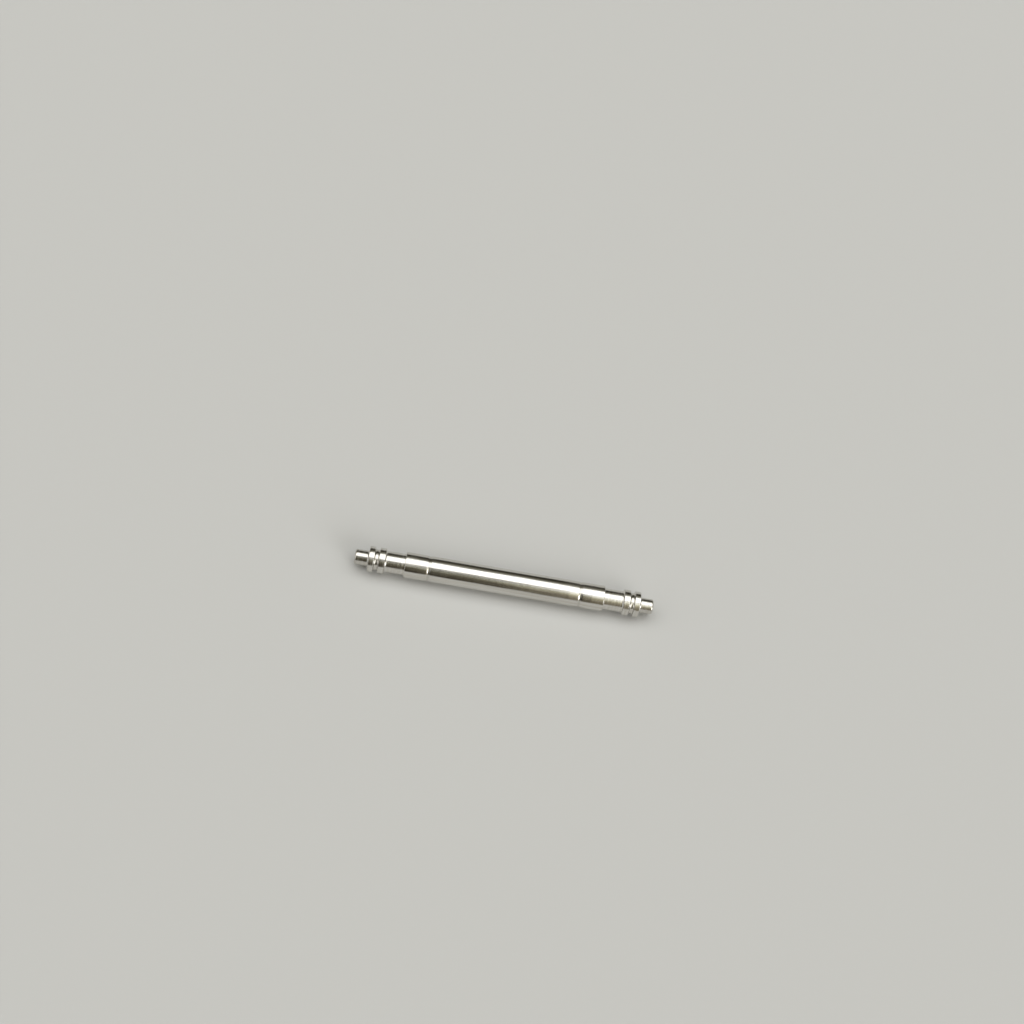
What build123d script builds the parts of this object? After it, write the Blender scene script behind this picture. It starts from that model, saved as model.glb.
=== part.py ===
from build123d import *

import os
from math import cos, pi, sin, sqrt

# Spring bar that pins a watch strap between the lugs of a case: a crimped tube, a coil spring
# inside it, and a turned plunger sprung out of each end. All sizes are in millimetres.
# +X runs along the bar and the origin is the middle of the bar on its axis.

# Tube: thin stainless tube, cut square, with a groove rolled in near each end.
tube_length = 13.9
tube_diameter = 1.80
tube_wall = 0.14
tube_edge_break = 0.03
crimp_inset = 1.67
crimp_width = 0.26
crimp_depth = 0.07

# Plunger, seen from outside: a pivot tip, two flanges with a tool groove between them, a shank.
tip_diameter = 1.06
tip_length = 0.96
tip_rounding = 0.13
flange_diameter = 1.78
flange_edge_break = 0.03
outer_flange_thickness = 0.39
inner_flange_thickness = 0.445
neck_diameter = 1.46
neck_length = 0.32
plunger_travel = 1.35
mouth_gap = 0.02

# Plunger, inside the tube: a waist that passes the crimp, a head that the crimp holds back, and
# a pilot for the spring's end coil.
shank_clearance = 0.02
bead_clearance = 0.05
stop_clearance = 0.01
head_length = 0.70
head_edge_break = 0.05
pilot_length = 0.36
pilot_clearance = 0.04
pilot_edge_break = 0.06

# Spring: round wire with one closed coil at each end.
spring_wire = 0.22
spring_clearance = 0.07
spring_seat_gap = 0.01
closed_coil_gap = 0.02
closed_turns = 1
active_turns = 14

# Radii that follow from the sizes above.
tube_radius = tube_diameter / 2
bore_radius = tube_radius - tube_wall
bead_radius = bore_radius - crimp_depth
shank_radius = bore_radius - shank_clearance
waist_radius = bead_radius - bead_clearance
flange_radius = flange_diameter / 2
neck_radius = neck_diameter / 2
tip_radius = tip_diameter / 2
coil_radius = bore_radius - spring_clearance - spring_wire / 2
pilot_radius = coil_radius - spring_wire / 2 - pilot_clearance

# Places along +X, from the middle of the bar out to the end of its tip.
tube_end = tube_length / 2
crimp_place = tube_end - crimp_inset
head_stop = crimp_place - crimp_width / 2 - stop_clearance
head_back = head_stop - head_length
pilot_end = head_back - pilot_length
shank_start = crimp_place + crimp_width / 2 + stop_clearance + plunger_travel
inner_flange_start = tube_end + mouth_gap + plunger_travel
neck_start = inner_flange_start + inner_flange_thickness
outer_flange_start = neck_start + neck_length
shoulder = outer_flange_start + outer_flange_thickness
tip_end = shoulder + tip_length


def turned(outline):
    """Solid turned about the bar's axis from the edges of half its lengthwise section."""
    return revolve(make_face(outline), axis=Axis.X)


def crimped_line(radius, end):
    """Half section of a tube wall's surface: straight runs with a rolled dip at each crimp."""
    half_width = crimp_width / 2
    runs = [
        Line((-end, radius), (-crimp_place - half_width, radius)),
        Line((-crimp_place + half_width, radius), (crimp_place - half_width, radius)),
        Line((crimp_place + half_width, radius), (end, radius)),
    ]
    dips = [
        ThreePointArc(
            (place - half_width, radius), (place, radius - crimp_depth), (place + half_width, radius)
        )
        for place in (-crimp_place, crimp_place)
    ]
    return runs + dips


def rim(start, end, radius, edge_break):
    """Section points of a collar from start to end, with both of its edges broken."""
    return [
        (start, radius - edge_break),
        (start + edge_break, radius),
        (end - edge_break, radius),
        (end, radius - edge_break),
    ]


def make_tube():
    outside = crimped_line(tube_radius, tube_end - tube_edge_break)
    inside = crimped_line(bore_radius, tube_end)
    mouths = [
        Polyline(
            (side * tube_end, bore_radius),
            (side * tube_end, tube_radius - tube_edge_break),
            (side * (tube_end - tube_edge_break), tube_radius),
        )
        for side in (-1, 1)
    ]
    return turned(outside + inside + mouths)


def make_plunger():
    """The plunger at the +X end, drawn out to its stop."""
    points = [(pilot_end, 0), (pilot_end, pilot_radius - pilot_edge_break)]
    points += [(pilot_end + pilot_edge_break, pilot_radius), (head_back, pilot_radius)]
    points += rim(head_back, head_stop, shank_radius, head_edge_break)
    points += [(head_stop, waist_radius), (shank_start, waist_radius)]
    points += [(shank_start, shank_radius), (inner_flange_start, shank_radius)]
    points += rim(inner_flange_start, neck_start, flange_radius, flange_edge_break)
    points += [(neck_start, neck_radius), (outer_flange_start, neck_radius)]
    points += rim(outer_flange_start, shoulder, flange_radius, flange_edge_break)
    points += [(shoulder, tip_radius), (tip_end, tip_radius), (tip_end, 0)]
    plunger = turned(Polyline(*points, close=True))
    end_face = plunger.faces().sort_by(Axis.X)[-1]
    return fillet(end_face.edges(), tip_rounding)


# The spring's wire follows a helix that runs flatter in its closed end coils.
closed_pitch = spring_wire + closed_coil_gap
wire_span = 2 * (head_back - spring_seat_gap) - spring_wire
active_pitch = (wire_span - 2 * closed_turns * closed_pitch) / active_turns
all_turns = active_turns + 2 * closed_turns
turn_step = 1 / 4


def wire_place(turn):
    """Place along X of the wire's centre line after that many turns."""
    closed_before = min(turn, closed_turns)
    closed_after = max(turn - closed_turns - active_turns, 0)
    active = turn - closed_before - closed_after
    return (closed_before + closed_after) * closed_pitch + active * active_pitch - wire_span / 2


def wire_point(turn):
    angle = 2 * pi * turn
    return Vector(wire_place(turn), coil_radius * cos(angle), coil_radius * sin(angle))


def wire_direction(turn):
    """Unit direction of the wire, its slope averaged over a quarter turn."""
    angle = 2 * pi * turn
    rise = (wire_place(turn + turn_step / 2) - wire_place(turn - turn_step / 2)) / turn_step
    around = 2 * pi * coil_radius
    return Vector(rise, -around * sin(angle), around * cos(angle)).normalized()


def biarc(start, start_direction, end, end_direction):
    """Two arcs that leave start and reach end in the given directions and meet smoothly."""
    chord = end - start
    both = start_direction + end_direction
    turning = 2 * (1 - start_direction.dot(end_direction))
    along = chord.dot(both)
    reach = (sqrt(along**2 + turning * chord.dot(chord)) - along) / turning
    middle = (start + end + (start_direction - end_direction) * reach) / 2
    middle_direction = chord - both * reach
    return [
        Edge.make_tangent_arc(start, start_direction, middle),
        Edge.make_tangent_arc(middle, middle_direction, end),
    ]


def make_spring():
    turns = [step * turn_step for step in range(round(all_turns / turn_step) + 1)]
    arcs = []
    for start, end in zip(turns, turns[1:]):
        arcs += biarc(wire_point(start), wire_direction(start), wire_point(end), wire_direction(end))
    section = Plane(origin=wire_point(0), z_dir=wire_direction(0)) * Circle(spring_wire / 2)
    return sweep(section, path=Wire(arcs))


def least_coil_gap():
    """Least gap from one turn of the wire to the next, measured on points of its centre line."""
    points_per_turn = 24
    points = [wire_point(step / points_per_turn) for step in range(all_turns * points_per_turn + 1)]
    apart = [
        (other - point).length
        for place, point in enumerate(points)
        for other in points[place + points_per_turn // 2 :]
    ]
    return min(apart) - spring_wire


right_plunger = make_plunger()
parts = {
    "tube": make_tube(),
    "spring": make_spring(),
    "right_plunger": right_plunger,
    "left_plunger": Rot(0, 0, 180) * right_plunger,
}
os.makedirs("parts", exist_ok=True)
for name, piece in parts.items():
    export_step(piece, os.path.join("parts", name + ".step"))
print("least gap between the spring's turns, in millimetres:", round(least_coil_gap(), 3))
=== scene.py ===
from math import asin, cos, pi, radians, sin, sqrt, tau

import bmesh
import bpy
from mathutils import Matrix, Vector


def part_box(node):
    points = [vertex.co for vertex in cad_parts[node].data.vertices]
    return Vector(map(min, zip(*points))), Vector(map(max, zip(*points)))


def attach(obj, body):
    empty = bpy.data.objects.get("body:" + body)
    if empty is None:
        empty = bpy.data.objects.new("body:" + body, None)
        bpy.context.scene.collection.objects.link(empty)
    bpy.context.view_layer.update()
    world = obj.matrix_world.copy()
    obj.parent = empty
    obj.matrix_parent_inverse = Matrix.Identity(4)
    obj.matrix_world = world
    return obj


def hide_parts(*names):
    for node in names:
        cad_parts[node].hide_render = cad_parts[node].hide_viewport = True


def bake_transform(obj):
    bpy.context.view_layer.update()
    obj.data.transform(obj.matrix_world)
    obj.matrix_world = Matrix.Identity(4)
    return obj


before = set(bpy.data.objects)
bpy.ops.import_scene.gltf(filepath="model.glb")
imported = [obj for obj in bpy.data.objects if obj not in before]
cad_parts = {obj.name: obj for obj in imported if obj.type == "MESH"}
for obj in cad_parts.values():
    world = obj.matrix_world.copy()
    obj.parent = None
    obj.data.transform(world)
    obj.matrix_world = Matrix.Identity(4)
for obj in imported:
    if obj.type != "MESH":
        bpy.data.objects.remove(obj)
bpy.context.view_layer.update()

# Camera: a portrait lens a hand's width from the bar, looking steeply down on it. It is placed so
# that both tips come where the photograph has them, with the right tip a little further away.
mm = 0.001
image_side = 1024
left_tip_pixel = (354.8, 556.2)
right_tip_pixel = (652.3, 607.2)
lens_length = 63.0
film_side = 36.0
camera_elevation = radians(63)
right_tip_further = 1.010


def ray_through(pixel):
    """Direction through a pixel in the camera's own axes, to a depth of one."""
    across = (pixel[0] - image_side / 2) / image_side * film_side / lens_length
    down = (pixel[1] - image_side / 2) / image_side * film_side / lens_length
    return Vector((across, -down, -1))


def axes_of(along, beside):
    """Square axes as columns: the first along one direction, the second nearest to the other."""
    second = (beside - along * along.dot(beside)).normalized()
    return Matrix((along, second, along.cross(second))).transposed()


bar_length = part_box("right_plunger")[1][0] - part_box("left_plunger")[0][0]
left_tip = ray_through(left_tip_pixel)
right_tip = ray_through(right_tip_pixel) * right_tip_further
nearness = bar_length / (right_tip - left_tip).length
seen_along = (right_tip - left_tip).normalized()
seen_middle = (left_tip + right_tip) / 2 * nearness
leaning_away = seen_along.dot(seen_middle.normalized())
height_share = sin(camera_elevation)
to_camera = Vector((-leaning_away, -sqrt(1 - leaning_away**2 - height_share**2), height_share))
turn = axes_of(Vector((1, 0, 0)), -to_camera) @ axes_of(seen_along, seen_middle).transposed()

camera_data = bpy.data.cameras.new("camera")
camera_data.lens = lens_length
camera_data.sensor_width = film_side
camera_data.clip_start = 5 * mm
camera = bpy.data.objects.new("camera", camera_data)
camera.matrix_world = Matrix.Translation(turn @ -seen_middle) @ turn.to_4x4()
bpy.context.collection.objects.link(camera)
bpy.context.scene.camera = camera

# Tube: a short length of thin stainless tube, drawn, cut square and deburred, with fine lengthwise
# draw lines. The groove rolled in near each end stands inside as a bead that holds a plunger.
tube_end, tube_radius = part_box("tube")[1][0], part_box("tube")[1][1]
tube_wall = 0.14 * mm
mouth_rounding = 0.035 * mm
crimp_inset = 1.67 * mm
crimp_reach = 0.12 * mm
crimp_apex = 0.055 * mm
crimp_bottom_rounding = 0.07 * mm
crimp_shoulder_rounding = 0.045 * mm
draw_in_reach = 0.55 * mm
draw_in_depth = 0.012 * mm
draw_in_rounding = 0.30 * mm
steel_colour = (0.69, 0.674, 0.642, 1)
dull_steel_colour = (0.604, 0.582, 0.539, 1)
# Painted shade: a darker steel colour laid into the crimps and the tool groove, where shade falls.
groove_shade_colour = (0.515, 0.494, 0.453, 1)
bore_colour = (0.433, 0.412, 0.381, 1)
streak_levels, streak_gloss_levels = (0.35, 0.65), (0.3, 0.7)
smudge_levels, scratch_levels = (0.45, 0.75), (0.71, 0.80)
tube_roughness = (0.10, 0.18)
smudge_roughness = 0.09
bore_roughness = 0.3
# How strongly and how deep the painted shade lies in the crimps.
crimp_shade_share = 0.8
crimp_shade_depths = (0.05 * mm, 0.008 * mm)
bore_depths = (0.13 * mm, 0.11 * mm)
draw_line_height = 0.0009 * mm
wave_height = 0.003 * mm
ripple_height = 0.0022 * mm
scratch_depth = 0.0009 * mm
noise_roughness = 0.6
round_steps = 192
arc_segments = 6
touching = 1e-8
broad_face_weight = 100
like_area = 0.001


def section_line(points, closed):
    """A bmesh of the edges through (place, radius, rounding) points, its corners rounded by arcs."""
    mesh = bmesh.new()
    corners = [mesh.verts.new((place, 0, radius)) for place, radius, rounding in points]
    ends = corners[1:] + corners[:1] if closed else corners[1:]
    for start, end in zip(corners, ends):
        mesh.edges.new((start, end))
    for rounding in sorted({point[2] for point in points if point[2]}):
        alike = [corner for corner, point in zip(corners, points) if point[2] == rounding]
        bmesh.ops.bevel(
            mesh, geom=alike, offset=rounding, offset_type="OFFSET", segments=arc_segments,
            profile=0.5, affect="VERTICES", material=-1,
        )
    return mesh


def turned_mesh(mesh):
    """Spins a section line about the bar's axis into a closed skin that faces outwards."""
    bmesh.ops.spin(
        mesh, geom=mesh.verts[:] + mesh.edges[:], cent=(0, 0, 0), axis=(1, 0, 0),
        angle=tau, steps=round_steps, use_merge=True,
    )
    bmesh.ops.remove_doubles(mesh, verts=mesh.verts[:], dist=touching)
    loose = [edge for edge in mesh.edges if not edge.link_faces]
    bmesh.ops.delete(mesh, geom=loose, context="EDGES")
    bmesh.ops.recalc_face_normals(mesh, faces=mesh.faces[:])


def smooth_piece(name, mesh):
    """Makes a shown object of a bmesh, smooth over its roundings and true on its broad faces.

    The faces are weighed with a millimetre as the unit, because in metres they are too small, so
    like_area, up to which two faces weigh the same, is in square millimetres.
    """
    bmesh.ops.scale(mesh, vec=Vector((1, 1, 1)) / mm, verts=mesh.verts[:])
    data = bpy.data.meshes.new(name)
    mesh.to_mesh(data)
    mesh.free()
    data.shade_smooth()
    piece = bpy.data.objects.new(name, data)
    bpy.context.collection.objects.link(piece)
    weighted = piece.modifiers.new("broad faces stay true", "WEIGHTED_NORMAL")
    weighted.weight = broad_face_weight
    weighted.thresh = like_area
    weighed = piece.evaluated_get(bpy.context.evaluated_depsgraph_get())
    piece.data = bpy.data.meshes.new_from_object(weighed)
    piece.data.transform(Matrix.Scale(mm, 4))
    piece.modifiers.clear()
    return piece


def add(tree, kind, sockets, output=0, **settings):
    """Adds a node, fills its sockets with values or with links, and returns one of its outputs."""
    node = tree.nodes.new("ShaderNode" + kind)
    for name, value in settings.items():
        setattr(node, name, value)
    for name, value in sockets.items():
        if isinstance(value, bpy.types.NodeSocket):
            tree.links.new(value, node.inputs[name])
        else:
            node.inputs[name].default_value = value
    return node.outputs[output]


def new_steel(name):
    """An unfinished steel: its material, its tree, its shader and a point's place on the bar."""
    material = bpy.data.materials.new(name)
    material.use_nodes = True
    tree = material.node_tree
    shader = tree.nodes["Principled BSDF"]
    shader.inputs["Metallic"].default_value = 1
    return material, tree, shader, add(tree, "TexCoord", {}, "Object")


def marks(tree, place, length, width, detail):
    """Noise whose marks have that length along the bar and that width across it."""
    scaled = add(tree, "Mapping", {"Vector": place, "Scale": (1 / length, 1 / width, 1 / width)})
    return add(tree, "TexNoise", {
        "Vector": scaled, "Scale": 1, "Detail": detail, "Roughness": noise_roughness,
    })


def from_axis(tree, place):
    """A point's distance from the bar's axis."""
    flat = add(tree, "VectorMath", {0: place, 1: (0, 1, 1)}, operation="MULTIPLY")
    return add(tree, "VectorMath", {0: flat}, "Value", operation="LENGTH")


def between(tree, value, lowest, highest, at_lowest, at_highest):
    """Turns a value's range into another one, smoothly and without passing its ends."""
    return add(tree, "MapRange", {
        "Value": value, "From Min": lowest, "From Max": highest,
        "To Min": at_lowest, "To Max": at_highest,
    }, interpolation_type="SMOOTHSTEP")


def mixed(tree, factor, first, second):
    """A colour between two colours."""
    return add(tree, "Mix", {"Factor": factor, "A": first, "B": second}, "Result", data_type="RGBA")


def crimped_line(radius):
    """Points of one surface of the tube's wall from left to right, dipping at each crimp."""
    points = [(-tube_end, radius, mouth_rounding)]
    for place in (crimp_inset - tube_end, tube_end - crimp_inset):
        points += [
            (place - draw_in_reach, radius, draw_in_rounding),
            (place - crimp_reach, radius - draw_in_depth, crimp_shoulder_rounding),
            (place, radius - crimp_apex, crimp_bottom_rounding),
            (place + crimp_reach, radius - draw_in_depth, crimp_shoulder_rounding),
            (place + draw_in_reach, radius, draw_in_rounding),
        ]
    return points + [(tube_end, radius, mouth_rounding)]


def drawn_steel():
    """Drawn and buffed: lines and streaks along the tube, a few scratches, painted shade in the
    grooves.
    """
    material, tree, shader, place = new_steel("drawn tube steel")
    lines = marks(tree, place, length=3.5 * mm, width=0.022 * mm, detail=3)
    streaks = marks(tree, place, length=8 * mm, width=0.13 * mm, detail=3)
    smudges = marks(tree, place, length=2.6 * mm, width=1.3 * mm, detail=3)
    waves = marks(tree, place, length=1.8 * mm, width=0.2 * mm, detail=0)
    ripples = marks(tree, place, length=0.34 * mm, width=0.24 * mm, detail=1)
    scratches = marks(tree, place, length=2.4 * mm, width=0.022 * mm, detail=2)
    radius = from_axis(tree, place)
    shade_bottom, shade_top = (tube_radius - depth for depth in crimp_shade_depths)
    bore_bottom, bore_top = (tube_radius - depth for depth in bore_depths)

    streaked = between(tree, streaks, *streak_levels, 0, 1)
    worn = mixed(tree, streaked, dull_steel_colour, steel_colour)
    # Painted shade: a darker colour where the surface dips into a crimp.
    in_crimp_shade = between(tree, radius, shade_bottom, shade_top, crimp_shade_share, 0)
    darkened = mixed(tree, in_crimp_shade, worn, groove_shade_colour)
    in_bore = between(tree, radius, bore_bottom, bore_top, 1, 0)
    colour = mixed(tree, in_bore, darkened, bore_colour)
    tree.links.new(colour, shader.inputs["Base Color"])

    fine = between(tree, streaks, *streak_gloss_levels, *tube_roughness)
    smudge = between(tree, smudges, *smudge_levels, 0, smudge_roughness)
    smudged = add(tree, "Math", {0: fine, 1: smudge})
    rough = add(tree, "Math", {0: smudged, 1: between(tree, in_bore, 0, 1, 0, bore_roughness)})
    tree.links.new(rough, shader.inputs["Roughness"])

    scored = between(tree, scratches, *scratch_levels, 0, 1)
    drawn = add(tree, "Bump", {"Height": lines, "Distance": draw_line_height})
    wavy = add(tree, "Bump", {"Height": waves, "Distance": wave_height, "Normal": drawn})
    rippled = add(tree, "Bump", {"Height": ripples, "Distance": ripple_height, "Normal": wavy})
    scratched = add(tree, "Bump", {"Height": scored, "Distance": -scratch_depth, "Normal": rippled})
    tree.links.new(scratched, shader.inputs["Normal"])
    return material


outside, inside = crimped_line(tube_radius), crimped_line(tube_radius - tube_wall)
tube_mesh = section_line(outside + inside[::-1], closed=True)
turned_mesh(tube_mesh)
drawn_tube = smooth_piece("drawn_tube", tube_mesh)
drawn_tube.data.materials.append(drawn_steel())
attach(drawn_tube, "tube")
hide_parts("tube")

# Plungers: each is one pin turned from stainless rod: tip, two flanges with the tool groove between
# them, shank, waist, head and spring pilot. The same pin is used at both ends.
plunger_start, tip_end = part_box("right_plunger")[0][0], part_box("right_plunger")[1][0]
flange_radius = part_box("right_plunger")[1][1]
tip_radius = 0.53 * mm
tip_length = 0.96 * mm
outer_flange_thickness = 0.39 * mm
neck_length = 0.32 * mm
neck_radius = 0.73 * mm
inner_flange_thickness = 0.445 * mm
shank_radius = 0.74 * mm
shank_length = 1.55 * mm
waist_radius = 0.64 * mm
head_place = 5.14 * mm
head_length = 0.70 * mm
pilot_radius = 0.43 * mm
tip_rounding = 0.13 * mm
flange_rounding = 0.035 * mm
neck_rounding = 0.12 * mm
shank_rounding = 0.10 * mm
tip_root_rounding = 0.12 * mm
hidden_rounding = 0.025 * mm
tool_rounding = 0.02 * mm
ring_size = 0.02 * mm
band_size = 0.12 * mm
band_levels, band_gloss_levels = (0.35, 0.65), (0.3, 0.7)
plunger_roughness = (0.13, 0.2)
# How strongly, how far up the walls and from where along the bar the painted shade lies in the tool
# groove.
neck_shade_share = 0.45
neck_shade_reach = 0.06 * mm
neck_shade_edge = 0.02 * mm
ring_height = 0.0016 * mm
band_height = 0.002 * mm
mottle_height = 0.0035 * mm

shoulder = tip_end - tip_length
outer_flange_start = shoulder - outer_flange_thickness
neck_start = outer_flange_start - neck_length
inner_flange_start = neck_start - inner_flange_thickness
shank_start = inner_flange_start - shank_length
head_back = head_place - head_length


def turned_plunger(name, side):
    """The plunger of one end: side is 1 at the right and -1 at the left."""
    mesh = section_line([
        (plunger_start, 0, 0), (plunger_start, pilot_radius, hidden_rounding),
        (head_back, pilot_radius, tool_rounding), (head_back, shank_radius, hidden_rounding),
        (head_place, shank_radius, hidden_rounding), (head_place, waist_radius, tool_rounding),
        (shank_start, waist_radius, tool_rounding), (shank_start, shank_radius, hidden_rounding),
        (inner_flange_start, shank_radius, shank_rounding),
        (inner_flange_start, flange_radius, flange_rounding),
        (neck_start, flange_radius, flange_rounding), (neck_start, neck_radius, neck_rounding),
        (outer_flange_start, neck_radius, neck_rounding),
        (outer_flange_start, flange_radius, flange_rounding),
        (shoulder, flange_radius, flange_rounding), (shoulder, tip_radius, tip_root_rounding),
        (tip_end, tip_radius, tip_rounding), (tip_end, 0, 0),
    ], closed=False)
    bmesh.ops.scale(mesh, vec=(side, 1, 1), verts=mesh.verts[:])
    turned_mesh(mesh)
    return smooth_piece(name, mesh)


def turned_steel():
    """Turned and tumbled: fine rings on every face, a light mottle, and painted shade in the tool
    groove.
    """
    material, tree, shader, place = new_steel("turned plunger steel")
    radius = from_axis(tree, place)
    along = add(tree, "SeparateXYZ", {"Vector": place}, "X")
    ring_place = add(tree, "CombineXYZ", {"X": along, "Y": radius})
    rings = marks(tree, ring_place, length=ring_size, width=ring_size, detail=3)
    bands = marks(tree, ring_place, length=band_size, width=band_size, detail=2)
    mottle = marks(tree, place, length=0.14 * mm, width=0.11 * mm, detail=2)
    smudges = marks(tree, place, length=0.9 * mm, width=0.7 * mm, detail=3)

    banded = between(tree, bands, *band_levels, 0, 1)
    worn = mixed(tree, banded, dull_steel_colour, steel_colour)
    # Painted shade: the floor of the tool groove, between the flanges, is given a darker colour
    # where shade falls.
    shade_top = neck_radius + neck_shade_reach
    in_neck_shade = between(tree, radius, neck_radius, shade_top, neck_shade_share, 0)
    from_middle = add(tree, "Math", {0: along}, operation="ABSOLUTE")
    past_shank = between(tree, from_middle, neck_start - neck_shade_edge, neck_start, 0, 1)
    # film is the share of this painted shade.
    film = add(tree, "Math", {0: in_neck_shade, 1: past_shank}, operation="MULTIPLY")
    tree.links.new(mixed(tree, film, worn, groove_shade_colour), shader.inputs["Base Color"])

    fine = between(tree, bands, *band_gloss_levels, *plunger_roughness)
    smudge = between(tree, smudges, *smudge_levels, 0, smudge_roughness)
    tree.links.new(add(tree, "Math", {0: fine, 1: smudge}), shader.inputs["Roughness"])

    ringed = add(tree, "Bump", {"Height": rings, "Distance": ring_height})
    wavy = add(tree, "Bump", {"Height": bands, "Distance": band_height, "Normal": ringed})
    mottled = add(tree, "Bump", {"Height": mottle, "Distance": mottle_height, "Normal": wavy})
    tree.links.new(mottled, shader.inputs["Normal"])
    return material


plunger_steel = turned_steel()
for side, end in ((-1, "left"), (1, "right")):
    plunger = turned_plunger(end + "_turned_plunger", side)
    plunger.data.materials.append(plunger_steel)
    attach(plunger, end + "_plunger")
    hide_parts(end + "_plunger")

# Spring: one length of hard-drawn spring wire, coiled with a closed turn at each end. It is made in
# two halves from the middle of the bar, because each half is squeezed by its own plunger.
coil_radius = 0.58 * mm
wire_radius = 0.11 * mm
closed_pitch = 0.24 * mm
spring_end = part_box("spring")[1][0]
active_half = 7
closed_turns = 1
turn_steps = 32
wire_sides = 12
wire_film_levels, wire_gloss_levels = (0.4, 0.65), (0.35, 0.7)
wire_roughness = (0.16, 0.34)
active_pitch = (spring_end - wire_radius - closed_turns * closed_pitch) / active_half


def spring_half(name, side):
    """One half of the spring, from the middle of the bar out to that side."""
    mesh = bmesh.new()
    slope = asin(active_pitch / (tau * coil_radius))
    place = Matrix.Translation((0, coil_radius, 0)) @ Matrix.Rotation(-slope, 4, "Y")
    bmesh.ops.create_circle(mesh, segments=wire_sides, radius=wire_radius, matrix=place)
    rim = mesh.edges[:]
    bmesh.ops.contextual_create(mesh, geom=rim)
    live = mesh.verts[:] + rim
    for turns, pitch in ((active_half, active_pitch), (closed_turns, closed_pitch)):
        spun = bmesh.ops.spin(
            mesh, geom=live, cent=(0, 0, 0), axis=(1, 0, 0), dvec=(pitch / turn_steps, 0, 0),
            angle=tau * turns, steps=turns * turn_steps,
        )
        live = spun["geom_last"]
    last_rim = [part for part in live if isinstance(part, bmesh.types.BMEdge)]
    bmesh.ops.contextual_create(mesh, geom=last_rim)
    bmesh.ops.recalc_face_normals(mesh, faces=mesh.faces[:])
    if side < 0:
        half_turn = Matrix.Rotation(pi, 3, "Y")
        bmesh.ops.rotate(mesh, verts=mesh.verts[:], cent=(0, 0, 0), matrix=half_turn)
    return smooth_piece(name, mesh)


def wire_drawn_steel():
    """Bright drawn wire, a little duller where the drawing film is left on it."""
    material, tree, shader, place = new_steel("spring wire steel")
    film = marks(tree, place, length=0.3 * mm, width=0.2 * mm, detail=3)
    darkened = between(tree, film, *wire_film_levels, 0, 1)
    tree.links.new(mixed(tree, darkened, steel_colour, dull_steel_colour), shader.inputs["Base Color"])
    rough = between(tree, film, *wire_gloss_levels, *wire_roughness)
    tree.links.new(rough, shader.inputs["Roughness"])
    return material


wire_steel = wire_drawn_steel()
for side, end in ((-1, "left"), (1, "right")):
    half = spring_half(end + "_spring_half", side)
    half.data.materials.append(wire_steel)
    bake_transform(half)
    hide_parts("spring")

# Floor: a plain pale sheet, wide enough to fill every view of the bar, which rests on it.
floor_half = 4.0
floor_colour = (0.50, 0.50, 0.49, 1)
floor_roughness = 0.9
floor_shine = 0.1
floor_mesh = bmesh.new()
bmesh.ops.create_grid(floor_mesh, x_segments=1, y_segments=1, size=floor_half)
bmesh.ops.translate(floor_mesh, verts=floor_mesh.verts[:], vec=(0, 0, -tube_radius))
floor_data = bpy.data.meshes.new("floor")
floor_mesh.to_mesh(floor_data)
floor_mesh.free()
floor = bpy.data.objects.new("floor", floor_data)
bpy.context.collection.objects.link(floor)
floor_material = bpy.data.materials.new("pale floor")
floor_material.use_nodes = True
floor_shader = floor_material.node_tree.nodes["Principled BSDF"]
floor_shader.inputs["Base Color"].default_value = floor_colour
floor_shader.inputs["Roughness"].default_value = floor_roughness
floor_shader.inputs["Specular IOR Level"].default_value = floor_shine
floor_data.materials.append(floor_material)

# Light: a plain studio. One broad lamp hangs above and a little behind the bar. The surround is
# bright overhead, dim lower down and as pale as the floor at its edge. In front it is brighter to
# the right than to the left, and soft glows at both sides catch the edges.
lamp_height = 2.0
lamp_size = (4.8, 1.80)
lamp_behind = 0.505
lamp_power = 38.6
surround_lean = (0, 0.14, 1)
surround_levels = (
    (0, (0.742, 0.742, 0.715)), (22, (0.669, 0.669, 0.64)), (31, (0.519, 0.514, 0.464)),
    (43, (0.342, 0.333, 0.264)), (55, (0.184, 0.17, 0.122)), (70, (0.112, 0.10, 0.074)),
    (85, (0.087, 0.077, 0.055)), (95, (0.083, 0.074, 0.055)),
)
back_range, back_level = (0.5, 0.95), 0.25
front_range = (0.1, 0.4)
sideways_range, left_gain, right_gain = (0.03, 0.20), 0.50, 4.0
far_right_range, far_right_fade = (0.30, 0.65), 0.29
side_glows = (
    ((0.67, -0.58, 0.41), 4.85, 8, 23),
    ((-0.80, -0.35, 0.42), 0.87, 12, 33),
    ((0.82, 0.14, 0.55), 0.78, 5, 17),
    ((-0.82, 0.14, 0.55), 0.78, 5, 17),
)
horizon_colour = (0.58, 0.576, 0.54, 1)
horizon_full, horizon_top = 2.0, 9.0

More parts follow.
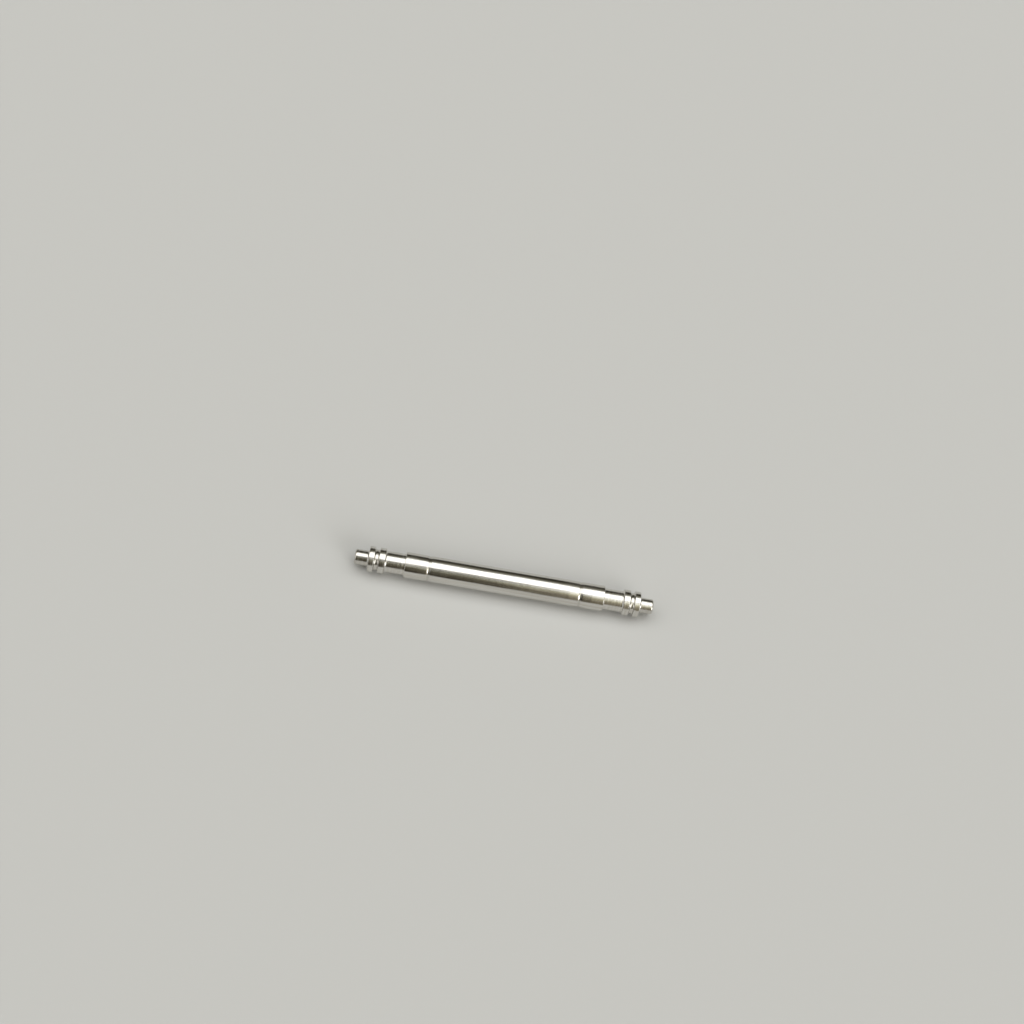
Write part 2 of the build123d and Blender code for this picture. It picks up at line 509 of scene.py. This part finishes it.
lamp_data = bpy.data.lights.new("top_lamp", "AREA")
lamp_data.shape = "RECTANGLE"
lamp_data.size, lamp_data.size_y = lamp_size
lamp_data.energy = lamp_power
top_lamp = bpy.data.objects.new("top_lamp", lamp_data)
top_lamp.location = (0, lamp_behind, lamp_height)
bpy.context.collection.objects.link(top_lamp)

world = bpy.data.worlds.new("studio")
bpy.context.scene.world = world
world.use_nodes = True
tree = world.node_tree


def towards(direction):
    """How far a ray of the surround points in that direction, from 1 along it to -1 against it."""
    unit = Vector(direction).normalized()
    return add(tree, "VectorMath", {0: ray, 1: unit}, "Value", operation="DOT_PRODUCT")


ray = add(tree, "TexCoord", {}, "Generated")
from_top = add(tree, "Math", {0: towards(surround_lean)}, operation="ARCCOSINE")
share = add(tree, "Math", {0: from_top, 1: pi}, operation="DIVIDE")
ramp = tree.nodes.new("ShaderNodeValToRGB")
tree.links.new(share, ramp.inputs["Fac"])
ramp.color_ramp.interpolation = "EASE"
stops = ramp.color_ramp.elements
while len(stops) < len(surround_levels):
    stops.new(1.0)
for stop, (degrees_from_top, colour) in zip(stops, surround_levels):
    stop.position = degrees_from_top / 180
    stop.color = (*colour, 1)
dimming = between(tree, towards((0, 1, 0)), *back_range, 1, back_level)
sideways = between(tree, towards((1, 0, 0)), *sideways_range, left_gain, right_gain)
in_front = between(tree, towards((0, -1, 0)), *front_range, 0, 1)
fading = between(tree, towards((1, 0, 0)), *far_right_range, 1, far_right_fade)
spread = add(tree, "Math", {0: sideways, 1: fading}, operation="MULTIPLY")
gain = add(tree, "Mix", {"Factor": in_front, "A": 1, "B": spread}, "Result", data_type="FLOAT")
level = add(tree, "Math", {0: dimming, 1: gain}, operation="MULTIPLY")
light = add(tree, "VectorMath", {0: ramp.outputs["Color"], "Scale": level}, operation="SCALE")
for direction, glow_level, core, reach in side_glows:
    glow = between(tree, towards(direction), cos(radians(reach)), cos(radians(core)), 0, glow_level)
    light = add(tree, "VectorMath", {0: light, 1: glow})
full_height, top_height = sin(radians(horizon_full)), sin(radians(horizon_top))
pale_share = between(tree, towards((0, 0, 1)), full_height, top_height, 1, 0)
light = mixed(tree, pale_share, light, horizon_colour)
tree.links.new(light, tree.nodes["Background"].inputs["Color"])

bpy.context.scene.view_settings.view_transform = "Standard"
